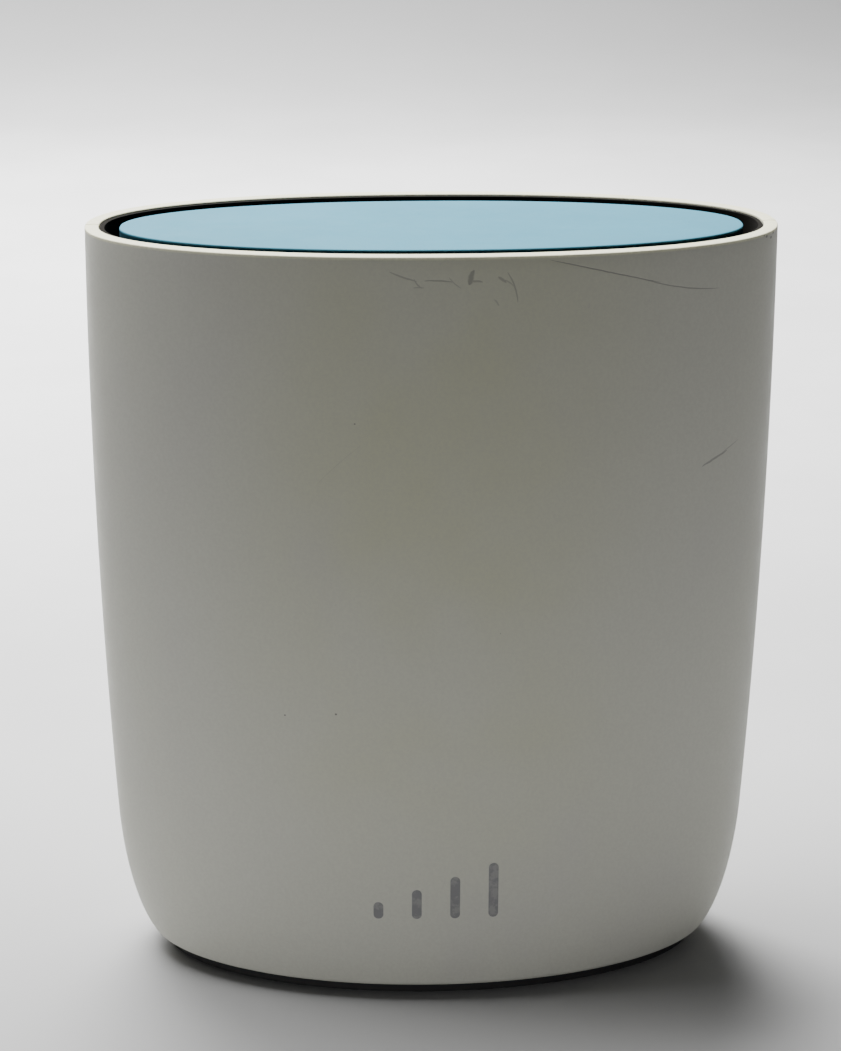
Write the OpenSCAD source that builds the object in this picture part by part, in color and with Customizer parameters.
// Mesh wifi node: an oval upright case in two shells, with a floating top cap in a dark
// groove, a recessed port bay low on the back, and boards, coolers and aerials inside.
// Z is up and the origin is on the ground under the middle. The front faces -Y.

/* [Case] */
// Height from the ground to the rim
case_h = 165; // [162:1:170]
// Width across the rim
case_w = 142; // [140:1:148]
// Depth across the rim
case_d = 61; // [60:0.5:64]
// Thickness of the shells, which shows as the flat rim
wall = 2.9; // [2.6:0.1:3]
// Squareness of the oval at the rim, where 2 is an ellipse
rim_power = 2.2; // [2.15:0.05:2.4]
// Squareness of the oval at the foot
foot_power = 2; // [1.9:0.05:2.2]
// Outward swell of the sides at mid height
side_swell = 1; // [0:0.1:1.5]
// How much narrower each side is at the foot
side_taper = 3.3; // [2.8:0.1:3.8]
// Height of the rounded lower side corners
corner_h = 31; // [28:1:33]
// How far each lower corner comes in
corner_in = 7.8; // [6:0.2:9]
// Gap between the two shells along the side seam
seam_gap = 0.04; // [0.02:0.01:0.08]

/* [Top] */
// Width of the open groove beside the cap's ends
groove_w = 4.1; // [3.8:0.1:4.4]
// How much wider the groove is at the front and back
groove_more = 0.8; // [0:0.1:1]
// Drop from the rim to the cap's face
cap_drop = 0.4; // [0.1:0.1:1]
// Depth of the groove below the rim
groove_depth = 9; // [8.5:0.1:9.5]

/* [Ports] */
// Width of the port bay
bay_w = 80; // [80:0.5:82]
// Height of the port bay
bay_h = 24; // [23:0.5:25]
// Distance of the bay's floor from the middle plane
bay_floor_y = 20.5; // [20.3:0.1:20.8]
// Travel of the sync and reset buttons
tact_travel = 0.5; // [0.3:0.1:0.5]
// Travel of the power button
power_travel = 1.5; // [1:0.1:1.6]

/* [Base] */
// Height of the shells' lower edge above the ground
shell_z = 3; // [2.8:0.1:3.2]
// How far the black plinth stands in from the shells
plinth_in = 1.6; // [1.2:0.1:2]
// Height that the rubber feet lift the plinth
foot_h = 1; // [0.8:0.1:1.2]

/* [Hidden] */
$fn = 48;
RING_STEPS = 96;
ARC_STEPS = 40;
CORNER_RINGS = 11;
SIDE_RINGS = 5;
eps = 0.05;

// Lower corner: how much of its inset is also taken off the depth, and how far it turns
corner_depth_share = 0.1;
corner_turn = 0.98;

// Colours
off_white = [0.87, 0.86, 0.82];
pale_blue = [0.64, 0.79, 0.83];
near_black = [0.06, 0.06, 0.07];
board_green = [0.06, 0.25, 0.17];
bare_metal = [0.72, 0.73, 0.74];
gold = [0.85, 0.66, 0.30];
led_white = [0.95, 0.93, 0.80];
grey_rubber = [0.20, 0.20, 0.21];

// Upper stack
cap_top_z = case_h - cap_drop;
cap_plate = 2;
groove_z = case_h - groove_depth;
liner_floor = 1.5;
liner_wall = 0.9;
liner_play = 0.15;
liner_lip_drop = 0.35;
cap_in = wall + groove_w;
guide_in = cap_in + 0.4;
guide_w = 2;
guide_h = 3;
guide_count = 8;
guide_peg_r = 0.8;
led_board_z = 150.4;
led_board_t = 1.6;
led_board_in = 7.2;
cap_leg_x = 34;
cap_leg_y = 8;
cap_leg_r = 2.5;
cap_pin_r = 1.5;
air_window = [52, 12];
liner_leg_x = 50;
led_screw_x = 24;
led_screw_y = 14;

// Board stack, from the front cooler to the rear cooler
board_y = 2;
board_t = 1.6;
board_back = board_y + board_t;
board_w = 96;
board_z = [10, 122];
can_w = 64;
can_z = [52, 100];
can_mid = (can_z[0] + can_z[1]) / 2;
can_t = 2.4;
sheet = 0.25;
pad_t = 0.8;
sink_w = 80;
sink_z = [46, 106];
sink_base = 2;
sink_depth = 11;
sink_fins = 11;
sink_screw_x = 37;
sink_screw_z = [50, 102];
board_screw_x = 45.5;
board_screw_z = [14, 118];

// Frame that carries the boards and aerials
frame_t = 3;
frame_y = board_y - frame_t;
frame_w = 116;
frame_z = [9, 148];
window_w = 86;
window_z = [40, 118];
frame_screw_x = 52;
frame_screw_z = [52, 128];
shell_post_z = [70, 138];
shelf_z = 150;
side_rail_x = 59.4;
side_rail_z = [56, 112];
aerial_t = 0.8;
stake_r = 1;
stake_proud = 0.8;
upper_stakes = [10, 34];
upper_stake_z = 134;
ribbon_x = [10, 18];
coax_r = 0.57;
coax_socket_z = 112;
coax_socket_x = [12, 34];

// Port bay items, along X as seen from the front
bay_z = 24;
bay_corner_r = 5;
bay_play = 0.2;
tray_wall = 1.2;
tray_floor = 2;
jack_w = 16;
jack_h = 13.6;
jack_front_y = bay_floor_y - 0.5;
jack_x = [12.2, -5.8];
dc_x = -31.5;
dc_bore_r = 3.1;
dc_pin_r = 1.05;
dc_root_r = 1.4;
power_x = -20;
sync_x = 33;
reset_x = 25.5;
reset_hole_r = 0.9;
button_r = 3.5;
button_play = 0.1;
light_pipe_z = 32;
led_size = [1.6, 0.8];
light_pipe_r = 1;
tact_h = 3.5;
tact_w = 6;
plunger_r = 1.6;
tact_seat = 0.9;
power_seat = 1.8;
well_spare = 0.2;

// Fasteners and base
screw_r = 1.25;
screw_head_r = 2.2;
screw_head_h = 1.5;
pilot_play = 0.05;
hole_play = 0.15;
drive_slot = [2.4, 0.5, 1];
drive_depth = 0.4;
base_screw_x = [-48, -24, 24, 48];
base_screw_y = -4;
foot_x = 40;
foot_y = 11;
foot_sink = 0.5;
head_seat_z = 2.7;
label_size = [47, 14];
label_y = 9.5;
label_recess = 0.2;
snap_z = [45, 95, 140];
snap_h = 8;
post_pin_r = 1.5;

// ---- Oval sections ----------------------------------------------------------------

function signed_power(v, p) = sign(v) * pow(abs(v), p);

function oval_point(a, b, n, t) =
    [a * signed_power(cos(t), 2 / n), b * signed_power(sin(t), 2 / n)];

function oval_normal(a, b, n, t) =
    let (g = [signed_power(cos(t), 2 - 2 / n) / a, signed_power(sin(t), 2 - 2 / n) / b])
    g / norm(g);

// Share of the corner inset that is left at height z. The corner's curve stops just short
// of a full quarter turn, so the shell's lower edge keeps a slope.
function corner_share(z) =
    let (u = max(0, (shell_z + corner_h - z) / corner_h))
    1 - sqrt(1 - corner_turn * u * u);

function drop_share(z) = (case_h - z) / case_h;

function half_w(z) =
    let (s = drop_share(z))
    case_w / 2 + 4 * side_swell * s * (1 - s) - side_taper * s * s
    - corner_in * corner_share(z);

function half_d(z) =
    (case_d - seam_gap) / 2 - corner_depth_share * corner_in * corner_share(z);

function power_at(z) = rim_power + (foot_power - rim_power) * drop_share(z);

// Points of the case's outline at height z, moved in by inset
function outline(z, inset, from = 0, to = 360, steps = RING_STEPS, closed = true) =
    [for (i = [0 : closed ? steps - 1 : steps])
        let (t = from + (to - from) * i / steps, a = half_w(z), b = half_d(z), n = power_at(z))
        oval_point(a, b, n, t) - inset * oval_normal(a, b, n, t)];

// One point of the outline at height z, moved in by inset
function outline_at(z, inset, t) =
    oval_point(half_w(z), half_d(z), power_at(z), t)
    - inset * oval_normal(half_w(z), half_d(z), power_at(z), t);

// Direction the outline faces at the same point
function outline_angle(z, t) =
    let (n = oval_normal(half_w(z), half_d(z), power_at(z), t)) atan2(n.y, n.x);

// Distance from the middle plane to the outer face at x, for height z
function surface_y(x, z) =
    half_d(z) * pow(1 - pow(x / half_w(z), power_at(z)), 1 / power_at(z));

// Where a post of radius r at x ends, safely inside the wall
function post_end(x, z, r) = surface_y(x + r, z - r) - 0.7;

module oval_plate(z, inset, bottom, height) {
    translate([0, 0, bottom]) linear_extrude(height) polygon(outline(z, inset));
}

module oval_ring(z, inset, width, bottom, height) {
    translate([0, 0, bottom]) linear_extrude(height) difference() {
        polygon(outline(z, inset));
        polygon(outline(z, inset + width));
    }
}

// A point of the rim's outline brought closer to the middle plane, for the slimmer cap
function slim(p) = [p.x, p.y * (1 - groove_more / (case_d / 2 - cap_in))];

function slim_outline(inset) = [for (p = outline(case_h, inset)) slim(p)];

function slim_at(inset, t) = slim(outline_at(case_h, inset, t));

module slim_ring(inset, width, bottom, height) {
    translate([0, 0, bottom]) linear_extrude(height) difference() {
        polygon(slim_outline(inset));
        polygon(slim_outline(inset + width));
    }
}

// ---- Half shell -------------------------------------------------------------------

SHELL_LEVELS = concat(
    [for (k = [0 : CORNER_RINGS]) shell_z + corner_h * (1 - cos(90 * k / CORNER_RINGS))],
    [for (k = [1 : SIDE_RINGS])
        shell_z + corner_h + (case_h - shell_z - corner_h) * k / SIDE_RINGS]
);

function with_z(points, z) = [for (p = points) [p.x, p.y, z]];

function reversed(points) = [for (i = [len(points) - 1 : -1 : 0]) points[i]];

// One level of the wall: the outer line, then the inner line back again
function wall_level(z, from, to) = concat(
    with_z(outline(z, 0, from, to, ARC_STEPS, false), z),
    with_z(reversed(outline(max(shell_z, z - wall), wall, from, to, ARC_STEPS, false)), z)
);

// The front half runs from 180 to 360 degrees, the rear half from 0 to 180
module half_shell(from, to) {
    side = to > 180 ? -1 : 1;
    loop = 2 * (ARC_STEPS + 1);
    top = len(SHELL_LEVELS) - 1;
    points = [for (z = SHELL_LEVELS) each wall_level(z, from, to)];
    sides = [for (k = [0 : top - 1], j = [0 : loop - 1])
        let (a = k * loop + j, b = k * loop + (j + 1) % loop)
        each [[a, a + loop, b + loop], [a, b + loop, b]]];
    ends = [for (i = [0 : ARC_STEPS - 1])
        let (inner = loop - 1 - i, up = top * loop)
        each [[i, i + 1, inner - 1], [i, inner - 1, inner],
              [up + i, up + inner - 1, up + i + 1], [up + i, up + inner, up + inner - 1]]];
    translate([0, side * seam_gap / 2, 0]) polyhedron(points, concat(sides, ends));
}

// ---- Small shared shapes ----------------------------------------------------------

// A cylinder along Y between two distances from the middle plane
module rod_y(x, z, from, to, r) {
    translate([x, from, z]) rotate([-90, 0, 0]) cylinder(h = to - from, r = r);
}

module rod_z(x, y, from, to, r) {
    translate([x, y, from]) cylinder(h = to - from, r = r);
}

module rod_x(y, z, from, to, r) {
    translate([from, y, z]) rotate([0, 90, 0]) cylinder(h = to - from, r = r);
}

// A box given by its two corners
module box(low, high) {
    translate(low) cube(high - low);
}

module each_side() {
    for (side = [-1, 1]) scale_x(side) children();
}

module scale_x(side) {
    if (side > 0) children();
    else mirror([1, 0, 0]) children();
}

// A pan-head screw along Z with its head down at head_z
module screw_up(x, y, head_z, length) {
    difference() {
        union() {
            rod_z(x, y, head_z, head_z + screw_head_h, screw_head_r);
            rod_z(x, y, head_z + screw_head_h - eps, head_z + screw_head_h + length, screw_r);
        }
        for (turn = [0, 90]) translate([x, y, head_z]) rotate(turn)
            translate([0, 0, drive_depth - drive_slot.z / 2]) cube(drive_slot, center = true);
    }
}

// A pan-head screw along +Y (dir = 1) or -Y (dir = -1) with its head's outer face at y
module screw_along_y(x, z, y, length, dir) {
    translate([x, y, z]) rotate([-90 * dir, 0, 0]) difference() {
        union() {
            cylinder(h = screw_head_h, r = screw_head_r);
            translate([0, 0, screw_head_h - eps]) cylinder(h = length + eps, r = screw_r);
        }
        for (turn = [0, 90]) rotate(turn)
            translate([0, 0, drive_depth - drive_slot.z / 2]) cube(drive_slot, center = true);
    }
}

// ---- Leads ------------------------------------------------------------------------

// A point on a Catmull-Rom curve between route points i and i + 1
function curve_point(p, i, u) =
    let (
        a = p[max(i - 1, 0)], b = p[i], c = p[i + 1], d = p[min(i + 2, len(p) - 1)]
    )
    0.5 * (2 * b + (c - a) * u + (2 * a - 5 * b + 4 * c - d) * u * u
        + (3 * b - a - 3 * c + d) * u * u * u);

function smooth_route(p, per = 3) = concat(
    [for (i = [0 : len(p) - 2], k = [0 : per - 1]) curve_point(p, i, k / per)],
    [p[len(p) - 1]]
);

function unit(v) = v / norm(v);

// Rings of a round lead, square to the route at each of its points
module lead(route, r, sides = 8) {
    p = smooth_route(route);
    last = len(p) - 1;
    points = [for (i = [0 : last])
        let (
            along = unit(p[min(i + 1, last)] - p[max(i - 1, 0)]),
            across = unit(cross(along, [0.31, 0.87, 0.38])),
            over = cross(along, across)
        )
        for (k = [0 : sides - 1])
            p[i] + r * (cos(360 * k / sides) * across + sin(360 * k / sides) * over)];
    skin = [for (i = [0 : last - 1], k = [0 : sides - 1])
        let (a = i * sides + k, b = i * sides + (k + 1) % sides)
        each [[a, b + sides, b], [a, a + sides, b + sides]]];
    start = [for (k = [1 : sides - 2]) [0, k, k + 1]];
    end = [for (k = [1 : sides - 2]) [last * sides, last * sides + k + 1, last * sides + k]];
    polyhedron(points, concat(skin, start, end));
}

// ---- Case -------------------------------------------------------------------------

// A hook that bridges the side seam, standing on the front shell's inner face
module snap_hook(z) {
    root_x = half_w(z) - wall;
    tongue = [root_x - 2.2, root_x - 1];
    reach = 3;
    box([tongue[0], -reach - 2, z - snap_h / 2], [root_x + wall / 3, -0.3, z + snap_h / 2]);
    box([tongue[0], -0.5, z - snap_h / 2], [tongue[1], reach, z + snap_h / 2]);
}

// The rear shell's stop behind each hook
module snap_catch(z) {
    root_x = half_w(z) - wall;
    box([root_x - 1.6, 3.4, z - snap_h / 2], [root_x + 0.6, 5, z + snap_h / 2]);
}

module front_shell() {
    post_r = 3;
    post_x = frame_screw_x;
    color(off_white) union() {
        half_shell(180, 360);
        each_side() {
            for (z = snap_z) snap_hook(z);
            for (z = shell_post_z) {
                rod_y(post_x, z, -post_end(post_x, z, post_r), frame_y - eps, post_r);
                rod_y(post_x, z, frame_y - 0.5, board_y - 0.5, post_pin_r);
            }
        }
    }
}

module rear_shell() {
    boss_r = 3.2;
    boss_depth = 11;
    color(off_white) difference() {
        union() {
            half_shell(0, 180);
            each_side() {
                for (z = frame_screw_z)
                    rod_y(frame_screw_x, z, board_y, post_end(frame_screw_x, z, boss_r), boss_r);
                for (z = snap_z) snap_catch(z);
            }
        }
        bay_block(0, bay_floor_y - 6, case_d);
        each_side() for (z = frame_screw_z)
            rod_y(frame_screw_x, z, board_y - 1, board_y + boss_depth, screw_r + pilot_play);
    }
}

module top_cap() {
    skirt = 1.6;
    skirt_z = groove_z + guide_h + 0.2;
    color(pale_blue) {
        slim_ring(cap_in, skirt, skirt_z, cap_top_z - skirt_z);
        translate([0, 0, cap_top_z - cap_plate]) linear_extrude(cap_plate)
            polygon(slim_outline(cap_in + skirt / 2));
        each_side() for (y = [-cap_leg_y, cap_leg_y]) {
            rod_z(cap_leg_x, y, groove_z, cap_top_z - cap_plate + eps, cap_leg_r);
            rod_z(cap_leg_x, y, groove_z - liner_floor, groove_z + eps, cap_pin_r);
        }
    }
}

module groove_liner() {
    floor_z = groove_z - liner_floor;
    slot_step = 5;
    slot_size = [2.4, 1.5];
    slot_mid = wall + 2.6;
    leg_r = 3.5;
    boss_r = 3;
    blind_end = groove_z - 0.7;
    color(near_black) difference() {
        union() {
            translate([0, 0, floor_z]) linear_extrude(liner_floor) difference() {
                polygon(outline(case_h, wall + liner_play));
                for (t = [0 : slot_step : 360 - slot_step])
                    translate(outline_at(case_h, slot_mid, t))
                        rotate(outline_angle(case_h, t)) square(slot_size, center = true);
                square(air_window, center = true);
            }
            oval_ring(case_h, wall + liner_play, liner_wall, floor_z,
                case_h - liner_lip_drop - floor_z);
            each_side() {
                rod_z(liner_leg_x, 0, shelf_z, floor_z + eps, leg_r);
                for (y = [-led_screw_y, led_screw_y])
                    rod_z(led_screw_x, y, led_board_z + led_board_t, floor_z + eps, boss_r);
            }
        }
        each_side() {
            rod_z(liner_leg_x, 0, shelf_z - 1, blind_end, screw_r + pilot_play);
            for (y = [-led_screw_y, led_screw_y])
                rod_z(led_screw_x, y, led_board_z, blind_end, screw_r + pilot_play);
            for (y = [-cap_leg_y, cap_leg_y])
                rod_z(cap_leg_x, y, floor_z - 1, groove_z + 1, cap_pin_r + pilot_play);
        }
        for (t = guide_angles()) translate(slim_at(guide_in + guide_w / 2, t))
            translate([0, 0, floor_z - 1]) cylinder(h = liner_floor + 2, r = guide_peg_r + 0.1);
    }
}

function guide_angles() = [for (k = [0 : guide_count - 1]) 360 * (k + 0.5) / guide_count];

module light_guide() {
    peg_drop = liner_floor + 0.6;
    color([0.85, 0.88, 0.90]) {
        slim_ring(guide_in, guide_w, groove_z, guide_h);
        for (t = guide_angles()) translate(slim_at(guide_in + guide_w / 2, t))
            translate([0, 0, groove_z - peg_drop]) cylinder(h = peg_drop + eps, r = guide_peg_r);
    }
}

module led_board() {
    leg_clearance_r = 4.2;
    color(board_green) translate([0, 0, led_board_z]) linear_extrude(led_board_t) difference() {
        polygon(outline(case_h, led_board_in));
        square([air_window.x - 12, air_window.y], center = true);
        each_side() {
            translate([liner_leg_x, 0]) circle(r = leg_clearance_r);
            for (y = [-led_screw_y, led_screw_y])
                translate([led_screw_x, y]) circle(r = screw_r + hole_play);
        }
    }
}

module ring_leds() {
    color(led_white) for (t = guide_angles()) translate(slim_at(guide_in + guide_w / 2, t))
        translate([-led_size.x / 2, -led_size.x / 2, led_board_z + led_board_t])
            cube([led_size.x, led_size.x, led_size.y]);
}

module led_screws() {
    color(bare_metal) each_side() for (y = [-led_screw_y, led_screw_y])
        screw_up(led_screw_x, y, led_board_z - screw_head_h, 4.5);
}

module liner_screws() {
    color(bare_metal) each_side()
        screw_up(liner_leg_x, 0, frame_z[1] - screw_head_h, 6);
}

// ---- Boards and coolers -----------------------------------------------------------

module main_board() {
    color(board_green) difference() {
        box([-board_w / 2, board_y, board_z[0]], [board_w / 2, board_back, board_z[1]]);
        each_side() {
            for (z = board_screw_z)
                rod_y(board_screw_x, z, board_y - 1, board_back + 1, screw_r + hole_play);
            for (z = sink_screw_z)
                rod_y(sink_screw_x, z, board_y - 1, board_back + 1, screw_r + hole_play);
        }
    }
}

// The flat cable's path, seen along X
module led_ribbon() {
    thickness = 0.3;
    path = [[5.2, 116], [7, 119], [8, 124], [8, 140], [8.6, 146], [8.6, 148.6]];
    back = [for (i = [len(path) - 1 : -1 : 0]) path[i] + [thickness, 0]];
    color([0.85, 0.85, 0.80]) translate([ribbon_x[0], 0, 0]) rotate([90, 0, 90])
        linear_extrude(ribbon_x[1] - ribbon_x[0]) polygon(concat(path, back));
}

module ribbon_sockets() {
    ends = [ribbon_x[0] - 0.5, ribbon_x[1] + 0.5];
    size = [3.9, 1.8];
    upper_y = 7.2;
    color(near_black) {
        box([ends[0], board_back, 112], [ends[1], board_back + size.y, 112 + size.x]);
        box([ends[0], upper_y, led_board_z - size.y], [ends[1], upper_y + size.x, led_board_z]);
    }
}

// A square chip; size holds its width and its height off the board
module chip(x, z, size, face_y) {
    box([x - size.x / 2, face_y, z - size.x / 2],
        [x + size.x / 2, face_y + size.y, z + size.x / 2]);
}

module radio_chips() {
    size = [13, 1.2];
    color(near_black) for (x = [-18, 18]) chip(x, can_mid, size, board_y - size.y);
}

module processor() {
    color(near_black) chip(0, can_mid + 6, [17, 1.3], board_back);
}

module memory_chips() {
    color(near_black) for (x = [-20, 20]) chip(x, can_mid - 10, [10, 1.1], board_back);
}

// A pressed cover whose mouth is at mouth_y and whose top is at top_y
module shield_can(mouth_y, top_y) {
    low = min(mouth_y, top_y);
    high = max(mouth_y, top_y);
    color(bare_metal) difference() {
        box([-can_w / 2, low, can_z[0]], [can_w / 2, high, can_z[1]]);
        box([-can_w / 2 + sheet, top_y > mouth_y ? low - 1 : low + sheet, can_z[0] + sheet],
            [can_w / 2 - sheet, top_y > mouth_y ? high - sheet : high + 1, can_z[1] - sheet]);
    }
}

module front_shield_can() {
    shield_can(board_y, board_y - can_t);
}

module rear_shield_can() {
    shield_can(board_back, board_back + can_t);
}

module thermal_pad(low_y) {
    edge = 6;
    color([0.45, 0.55, 0.75]) box([edge - can_w / 2, low_y, can_z[0] + edge],
        [can_w / 2 - edge, low_y + pad_t, can_z[1] - edge]);
}

module front_thermal_pad() {
    thermal_pad(board_y - can_t - pad_t);
}

module rear_thermal_pad() {
    thermal_pad(board_back + can_t);
}

// A finned cooler whose flat face is at face_y and whose fins stand along dir
module heatsink(face_y, dir) {
    fin_t = 1.2;
    pitch = (sink_w - fin_t) / (sink_fins - 1);
    color([0.60, 0.61, 0.63]) translate([0, face_y, 0]) scale_y(dir) difference() {
        union() {
            box([-sink_w / 2, 0, sink_z[0]], [sink_w / 2, sink_base, sink_z[1]]);
            for (k = [0 : sink_fins - 1]) translate([-sink_w / 2 + k * pitch, 0, 0])
                box([0, sink_base - eps, sink_z[0]], [fin_t, sink_depth, sink_z[1]]);
        }
        each_side() for (z = sink_screw_z) {
            rod_y(sink_screw_x, z, -1, sink_base + 1, screw_r + pilot_play);
            rod_y(sink_screw_x, z, sink_base, sink_depth + 1, screw_head_r + 0.6);
        }
    }
}

module scale_y(side) {
    if (side > 0) children();
    else mirror([0, 1, 0]) children();
}

module front_heatsink() {
    heatsink(board_y - can_t - pad_t, -1);
}

module rear_heatsink() {
    heatsink(board_back + can_t + pad_t, 1);
}

module heatsink_screws() {
    head_y = board_y - can_t - pad_t - sink_base - screw_head_h;
    color(bare_metal) each_side() for (z = sink_screw_z)
        screw_along_y(sink_screw_x, z, head_y, 11.5, 1);
}

module board_screws() {
    color(bare_metal) each_side() for (z = board_screw_z)
        screw_along_y(board_screw_x, z, board_back + screw_head_h, 6, -1);
}

module chassis_screws() {
    color(bare_metal) each_side() for (z = frame_screw_z)
        screw_along_y(frame_screw_x, z, frame_y - screw_head_h, 11, 1);
}

// ---- Frame and aerials ------------------------------------------------------------

module chassis_frame() {
    half = frame_w / 2;
    foot_half = 51;
    foot_t = 3;
    boss_r = 3;
    boss_h = 3.5;
    shelf_half_d = 8;
    driver_pocket = [7, 8, 8];
    color([0.20, 0.20, 0.21]) difference() {
        union() {
            box([-half, frame_y, frame_z[0]], [half, board_y, frame_z[1]]);
            box([-foot_half, base_screw_y - 4, frame_z[0] - foot_t], [foot_half, board_y, frame_z[0]]);
            for (x = base_screw_x)
                rod_z(x, base_screw_y, frame_z[0] - foot_t, frame_z[0] + 4, boss_r);
            each_side() {
                for (z = board_screw_z)
                    rod_y(board_screw_x, z, frame_y - boss_h, frame_y + eps, boss_r);
                box([half - 14, -shelf_half_d, frame_z[1]], [half, shelf_half_d, shelf_z]);
                box([half - 1, -shelf_half_d, side_rail_z[0]],
                    [side_rail_x, shelf_half_d, side_rail_z[1]]);
                for (z = side_stakes())
                    rod_x(0, z, side_rail_x - eps, side_rail_x + aerial_t + stake_proud, stake_r);
                for (x = upper_stakes)
                    rod_y(x, upper_stake_z, frame_y - aerial_t - stake_proud, frame_y + eps,
                        stake_r);
            }
        }
        box([-window_w / 2, frame_y - 5, window_z[0]], [window_w / 2, board_y + 1, window_z[1]]);
        for (x = base_screw_x)
            rod_z(x, base_screw_y, frame_z[0] - foot_t - 1, frame_z[0] + 3.5, screw_r + pilot_play);
        each_side() {
            for (z = board_screw_z)
                rod_y(board_screw_x, z, frame_y - boss_h + 0.5, board_y + 1, screw_r + pilot_play);
            for (z = frame_screw_z)
                rod_y(frame_screw_x, z, frame_y - 1, board_y + 1, screw_r + hole_play);
            for (z = shell_post_z)
                rod_y(frame_screw_x, z, frame_y - 1, board_y + 1, post_pin_r + pilot_play);
            rod_z(liner_leg_x, 0, frame_z[1] - 7, shelf_z + 1, screw_r + hole_play);
            translate([liner_leg_x, 0, frame_z[1] - driver_pocket.z / 2])
                cube(driver_pocket, center = true);
        }
    }
}

function side_stakes() = [side_rail_z[0] + 6, side_rail_z[1] - 6];

// A side aerial: a thin board on the frame's side rail
module side_aerial() {
    half_d = 7.5;
    color(board_green) difference() {
        box([side_rail_x, -half_d, side_rail_z[0] + 1],
            [side_rail_x + aerial_t, half_d, side_rail_z[1] - 1]);
        for (z = side_stakes())
            rod_x(0, z, side_rail_x - 1, side_rail_x + 2, stake_r + pilot_play);
    }
}

// An upper aerial: a thin board on the frame's front face above the window
module upper_aerial() {
    half_h = 10;
    edge = 4;
    color(board_green) difference() {
        box([upper_stakes[0] - edge, frame_y - aerial_t, upper_stake_z - half_h],
            [upper_stakes[1] + edge, frame_y, upper_stake_z + half_h]);
        for (x = upper_stakes)
            rod_y(x, upper_stake_z, frame_y - 2, frame_y + 1, stake_r + pilot_play);
    }
}

module left_aerial() {
    scale_x(-1) side_aerial();
}

module right_aerial() {
    side_aerial();
}

module upper_left_aerial() {
    scale_x(-1) upper_aerial();
}

module upper_right_aerial() {
    upper_aerial();
}

// Routes of the thin coaxial leads on the right-hand side
side_route = [[coax_socket_x[1], 0.4, coax_socket_z], [35, -3, 112], [39, -6, 113],
    [46, -7, 113], [53, -8.5, 111], [58.5, -10, 106], [61.5, -8, 98], [61.5, -4, 93],
    [61, -2, 90]];
upper_route = [[coax_socket_x[0], 0.4, coax_socket_z], [12, -3, 113], [13, -3.6, 116], [16, -3.4, 120],
    [18, -3, 124], [18.5, -2.5, 128]];

module left_coax() {
    color(near_black) scale_x(-1) lead(side_route, coax_r);
}

module right_coax() {
    color(near_black) lead(side_route, coax_r);
}

module upper_left_coax() {
    color(near_black) scale_x(-1) lead(upper_route, coax_r);
}

module upper_right_coax() {
    color(near_black) lead(upper_route, coax_r);
}

module coax_sockets() {
    color(gold) each_side() for (x = coax_socket_x)
        rod_y(x, coax_socket_z, board_y - 1, board_y, 1.5);
}

// ---- Port bay ---------------------------------------------------------------------

// The port bay's outline, a rectangle with round corners, moved in by inset
module bay_outline(inset) {
    size = [bay_w, bay_h] - 2 * [inset, inset];
    r = bay_corner_r - inset;
    square(size - [2 * r, 0], center = true);
    square(size - [0, 2 * r], center = true);
    for (x = [-1, 1], z = [-1, 1])
        translate([x * (size.x / 2 - r), z * (size.y / 2 - r)]) circle(r = r);
}

module bay_block(inset, from, to) {
    translate([0, to, bay_z]) rotate([90, 0, 0]) linear_extrude(to - from) bay_outline(inset);
}

module port_panel() {
    inner_in = bay_play + tray_wall;
    back_y = bay_floor_y - 4.9;
    floor_back = bay_floor_y - tray_floor;
    flange_out = 2.3;
    flange_t = 1.4;
    guide_r = 2;
    nose_hole_r = 4.2;
    color([0.16, 0.16, 0.17]) difference() {
        union() {
            intersection() {
                bay_block(bay_play, back_y, case_d / 2);
                oval_plate(bay_z - bay_h / 2, 0.3, 0, 2 * bay_z);
            }
            bay_block(-flange_out, back_y, back_y + flange_t);
        }
        bay_block(inner_in, bay_floor_y, case_d);
        difference() {
            bay_block(inner_in, back_y - 1, floor_back);
            rod_y(reset_x, bay_z, floor_back - 2, floor_back, guide_r);
        }
        for (x = jack_x) box([x - jack_w / 2 - 0.2, back_y, bay_z - jack_h / 2 - 0.2],
            [x + jack_w / 2 + 0.2, bay_floor_y + 1, bay_z + jack_h / 2 + 0.2]);
        rod_y(dc_x, bay_z, back_y, bay_floor_y + 1, nose_hole_r);
        for (x = [sync_x, power_x])
            rod_y(x, bay_z, back_y, bay_floor_y + 1, button_r + button_play);
        rod_y(power_x, light_pipe_z, back_y, bay_floor_y + 1, light_pipe_r + pilot_play);
        rod_y(reset_x, bay_z, back_y, bay_floor_y + 1, reset_hole_r);
    }
}

// Outline of a modular socket's mouth, with its latch steps below
module socket_mouth(play = 0) {
    mouth = [11.8, 8.2];
    sill = -3.6;
    offset(delta = play) {
        translate([-mouth.x / 2, sill]) square(mouth);
        for (step = [[6.2, 1.4], [3.6, 2.4]])
            translate([-step.x / 2, sill - step.y]) square([step.x, step.y + 1]);
    }
}

// The 2D children stand up in the XZ plane and run back from y to y - depth
module pushed_back(x, y, depth) {
    translate([x, y, bay_z]) rotate([90, 0, 0]) linear_extrude(depth) children();
}

module ethernet_shield(x) {
    color(bare_metal) difference() {
        box([x - jack_w / 2, board_back, bay_z - jack_h / 2],
            [x + jack_w / 2, jack_front_y, bay_z + jack_h / 2]);
        box([x - jack_w / 2 + sheet, board_back - 1, bay_z - jack_h / 2 + sheet],
            [x + jack_w / 2 - sheet, jack_front_y - sheet, bay_z + jack_h / 2 - sheet]);
        pushed_back(x, jack_front_y + 1, 3) socket_mouth(0.2);
    }
}

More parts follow.
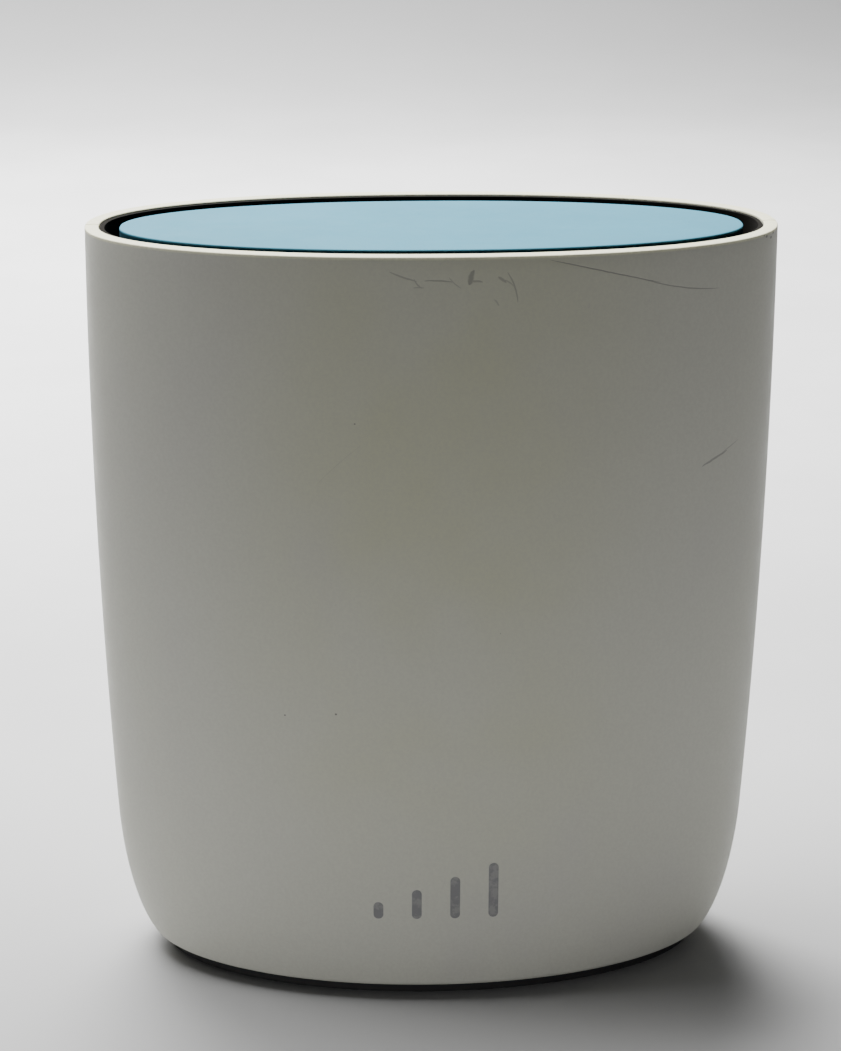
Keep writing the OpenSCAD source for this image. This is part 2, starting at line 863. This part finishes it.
module ethernet_insert(x, tint) {
    inset = sheet + 0.05;
    color(tint) difference() {
        box([x - jack_w / 2 + inset, board_back + 0.1, bay_z - jack_h / 2 + inset],
            [x + jack_w / 2 - inset, jack_front_y - inset, bay_z + jack_h / 2 - inset]);
        pushed_back(x, jack_front_y + 1, 14.5) socket_mouth();
    }
}

// Eight sprung wires that slope down into the socket's mouth
module ethernet_contacts(x) {
    pitch = 1.02;
    wire = [0.4, 8.5, 0.3];
    color(gold) for (k = [0 : 7])
        translate([x + (k - 3.5) * pitch - wire.x / 2, jack_front_y - 2.5, bay_z + 4.45])
            rotate([14, 0, 0]) translate([0, -wire.y, -wire.z]) cube(wire);
}

module ethernet_shield_1() {
    ethernet_shield(jack_x[0]);
}

module ethernet_shield_2() {
    ethernet_shield(jack_x[1]);
}

module ethernet_insert_1() {
    ethernet_insert(jack_x[0], [0.80, 0.66, 0.16]);
}

module ethernet_insert_2() {
    ethernet_insert(jack_x[1], near_black);
}

module ethernet_contacts_1() {
    ethernet_contacts(jack_x[0]);
}

module ethernet_contacts_2() {
    ethernet_contacts(jack_x[1]);
}

// A part soldered to the board's back face above the bay; size holds width, depth and height
module above_bay(x, size) {
    low_z = bay_z + bay_h / 2 - 3;
    box([x - size.x / 2, board_back, low_z], [x + size.x / 2, board_back + size.y, low_z + size.z]);
}

module ethernet_transformers() {
    color(near_black) for (x = jack_x) above_bay(x, [14, 4, 8]);
}

module dc_jack_body() {
    nose_y = bay_floor_y - 2.7;
    nose_r = 4;
    half_w = 4.5;
    half_h = 5.5;
    color(near_black) difference() {
        union() {
            box([dc_x - half_w, board_back, bay_z - half_h], [dc_x + half_w, nose_y, bay_z + half_h]);
            rod_y(dc_x, bay_z, nose_y - eps, jack_front_y, nose_r);
        }
        rod_y(dc_x, bay_z, board_back + 5, jack_front_y + 1, dc_bore_r);
        rod_y(dc_x, bay_z, board_back + 1, board_back + 6, dc_root_r);
        box([dc_x - 1, board_back + 4, bay_z - dc_bore_r - 0.6], [dc_x + 1, nose_y - 1, bay_z - 2]);
    }
}

module dc_jack_pin() {
    tip = 0.6;
    tip_y = jack_front_y - 0.8;
    color(bare_metal) {
        rod_y(dc_x, bay_z, board_back + 1, board_back + 5, dc_root_r);
        rod_y(dc_x, bay_z, board_back + 5 - eps, tip_y - tip, dc_pin_r);
        translate([dc_x, tip_y - tip, bay_z]) rotate([-90, 0, 0])
            cylinder(h = tip, r1 = dc_pin_r, r2 = dc_pin_r - 0.4);
    }
}

module dc_jack_spring() {
    color(gold) box([dc_x - 0.8, board_back + 4.2, bay_z - dc_bore_r - 0.3],
        [dc_x + 0.8, bay_floor_y - 4, bay_z - dc_bore_r + 0.1]);
}

// A round cap with a flange behind the panel and a stem to its switch
module button(x, stem_y, flange_back, face_y) {
    stem_r = 1.5;
    flange_r = 4.6;
    flange_front = bay_floor_y - tray_floor - 0.2;
    rod_y(x, bay_z, stem_y, flange_back + eps, stem_r);
    rod_y(x, bay_z, flange_back, flange_front, flange_r);
    rod_y(x, bay_z, flange_front - eps, face_y, button_r);
}

tact_top = board_back + tact_h;
sync_stem_y = tact_top + 1;
power_body = 8;
power_stem_y = board_back + power_body + 2.4;
button_flange_y = bay_floor_y - tray_floor - 1.2;

module sync_button() {
    color([0.30, 0.30, 0.31]) button(sync_x, sync_stem_y, button_flange_y, bay_floor_y + 0.6);
}

module power_button() {
    color([0.30, 0.30, 0.31])
        button(power_x, power_stem_y, button_flange_y, bay_floor_y + 0.3 + power_travel);
}

// A square switch body with a round well in its top
module switch_body(x, width, height, well_depth) {
    top = board_back + height;
    difference() {
        box([x - width / 2, board_back, bay_z - width / 2], [x + width / 2, top, bay_z + width / 2]);
        rod_y(x, bay_z, top - well_depth, top + 1, plunger_r + button_play);
    }
}

module sync_switch() {
    color(near_black) switch_body(sync_x, tact_w, tact_h, tact_seat + tact_travel + well_spare);
}

module sync_plunger() {
    color(bare_metal) rod_y(sync_x, bay_z, tact_top - tact_seat, sync_stem_y, plunger_r);
}

module power_switch() {
    color(near_black)
        switch_body(power_x, 8.4, power_body, power_seat + power_travel + well_spare);
}

module power_plunger() {
    color(off_white)
        rod_y(power_x, bay_z, board_back + power_body - power_seat, power_stem_y, plunger_r);
}

module reset_switch() {
    color(near_black) switch_body(reset_x, tact_w, tact_h, tact_seat + tact_travel + well_spare);
}

module reset_plunger() {
    color(off_white)
        rod_y(reset_x, bay_z, tact_top - tact_seat, bay_floor_y - tray_floor - 2.5, plunger_r);
}

module power_light_pipe() {
    color([0.90, 0.93, 0.94])
        rod_y(power_x, light_pipe_z, board_back + 1, bay_floor_y + 0.1, light_pipe_r);
}

module power_led() {
    color(led_white) box([power_x - led_size.x / 2, board_back, light_pipe_z - 0.5],
        [power_x + led_size.x / 2, board_back + led_size.y, light_pipe_z + 0.5]);
}

module power_inductors() {
    color([0.25, 0.25, 0.26]) for (x = [-40, -30]) above_bay(x, [8, 4.2, 8]);
}

// ---- Base -------------------------------------------------------------------------

// The 2D outline of a foot: a bar with round ends
module foot_outline(grow = 0) {
    bar = 8;
    end_r = 3;
    square([bar, 2 * (end_r + grow)], center = true);
    for (x = [-bar / 2, bar / 2]) translate([x, 0]) circle(r = end_r + grow);
}

module at_feet() {
    for (x = [-foot_x, foot_x], y = [-foot_y, foot_y]) translate([x, y]) children();
}

module base_plate() {
    spigot_in = wall + 0.3;
    spigot_t = 1.6;
    spigot_h = 2.6;
    base_boss_r = 4.2;
    vent_pitch = 4;
    vent_w = 1.6;
    vent_y = [-19, -9.5];
    color(near_black) difference() {
        union() {
            oval_plate(shell_z, plinth_in, foot_h, shell_z - foot_h);
            oval_ring(shell_z, spigot_in, spigot_t, shell_z - eps, spigot_h + eps);
            for (x = base_screw_x)
                rod_z(x, base_screw_y, shell_z - eps, frame_z[0] - 3, base_boss_r);
        }
        for (k = [-8 : 8])
            box([k * vent_pitch - vent_w / 2, vent_y[0], foot_h - 1],
                [k * vent_pitch + vent_w / 2, vent_y[1], shell_z + 1]);
        translate([0, 0, foot_h - 1]) linear_extrude(1 + foot_sink) at_feet() foot_outline(0.05);
        for (x = base_screw_x) {
            rod_z(x, base_screw_y, foot_h - 1, frame_z[0] + 1, screw_r + hole_play);
            rod_z(x, base_screw_y, foot_h - 1, head_seat_z, screw_head_r + 0.3);
        }
        label_block(label_recess, foot_h - 1, label_recess);
    }
}

module base_screws() {
    color(bare_metal) for (x = base_screw_x)
        screw_up(x, base_screw_y, head_seat_z - screw_head_h, 9);
}

module rubber_feet() {
    color(grey_rubber) linear_extrude(foot_h + foot_sink) at_feet() foot_outline();
}

// The label's block, grown sideways by grow, from a low height up to lift above the plinth
module label_block(grow, low_z, lift) {
    box([-label_size.x / 2 - grow, label_y - label_size.y / 2 - grow, low_z],
        [label_size.x / 2 + grow, label_y + label_size.y / 2 + grow, foot_h + lift]);
}

module rating_label() {
    color([0.75, 0.75, 0.75]) label_block(0, foot_h + 0.05, label_recess);
}

// ---- Draw -------------------------------------------------------------------------

front_shell();
rear_shell();
top_cap();
groove_liner();
light_guide();
led_board();
ring_leds();
led_screws();
liner_screws();
led_ribbon();
ribbon_sockets();
chassis_frame();
main_board();
radio_chips();
processor();
memory_chips();
front_shield_can();
rear_shield_can();
front_thermal_pad();
rear_thermal_pad();
front_heatsink();
rear_heatsink();
heatsink_screws();
board_screws();
chassis_screws();
left_aerial();
right_aerial();
upper_left_aerial();
upper_right_aerial();
left_coax();
right_coax();
upper_left_coax();
upper_right_coax();
coax_sockets();
port_panel();
ethernet_shield_1();
ethernet_shield_2();
ethernet_insert_1();
ethernet_insert_2();
ethernet_contacts_1();
ethernet_contacts_2();
ethernet_transformers();
dc_jack_body();
dc_jack_pin();
dc_jack_spring();
sync_button();
sync_switch();
sync_plunger();
power_button();
power_switch();
power_plunger();
reset_switch();
reset_plunger();
power_light_pipe();
power_led();
power_inductors();
base_plate();
base_screws();
rubber_feet();
rating_label();
